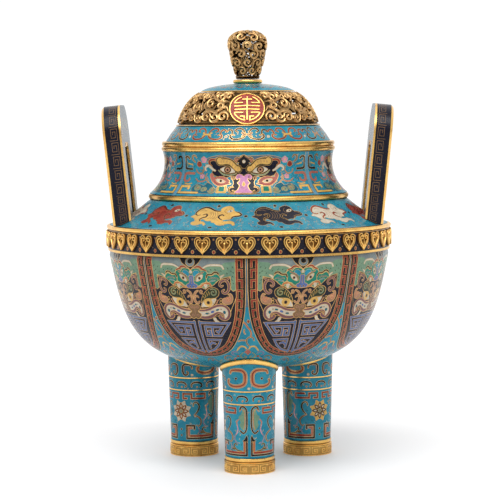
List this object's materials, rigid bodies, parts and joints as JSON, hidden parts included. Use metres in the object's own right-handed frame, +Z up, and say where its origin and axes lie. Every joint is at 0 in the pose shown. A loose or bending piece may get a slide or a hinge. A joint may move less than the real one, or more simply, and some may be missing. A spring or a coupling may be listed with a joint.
{
  "type": "cloisonne tripod incense burner",
  "caption": "Round cloisonne enamel incense burner on straight tubular legs, with upright loop handles and a lift-off lid with a pierced gilt dome and knob.",
  "frame": {"origin": "middle of the three feet, on the surface they stand on", "axes": "+Z up, the front leg towards -Y, the handles at -X and +X"},
  "size_m": [0.2878, 0.2876, 0.4301],
  "materials": {
    "cloisonne_enamel": "satin polished enamel flush with gilt wires",
    "handle_enamel": "satin polished enamel",
    "leg_enamel": "satin polished enamel flush with gilt wires",
    "belt_enamel_and_gilt": "gilt hearts on dark blue enamel",
    "red_enamel": "satin polished enamel with gilt strokes",
    "gilt_bronze": "worn mercury gilding"
  },
  "bodies": {
    "root": {"foot_front": "gilt_bronze", "foot_left": "gilt_bronze", "foot_right": "gilt_bronze", "handle_left": "handle_enamel", "handle_right": "handle_enamel", "heart_belt": "belt_enamel_and_gilt", "knob_collar": "gilt_bronze", "leg_collar_front": "gilt_bronze", "leg_collar_left": "gilt_bronze", "leg_collar_right": "gilt_bronze", "leg_front": "leg_enamel", "leg_left": "leg_enamel", "leg_right": "leg_enamel", "lid_cap": "cloisonne_enamel", "lid_dome": "gilt_bronze", "lid_knob": "gilt_bronze", "lid_rim": "gilt_bronze", "lid_roundel_back": "red_enamel", "lid_roundel_front": "red_enamel", "lid_skirt": "cloisonne_enamel", "mouth_rim": "gilt_bronze", "neck_ring": "gilt_bronze", "shoulder_moulding": "gilt_bronze", "vessel_bowl": "cloisonne_enamel", "vessel_neck": "cloisonne_enamel", "vessel_shoulder": "cloisonne_enamel"}
  },
  "joints": []
}
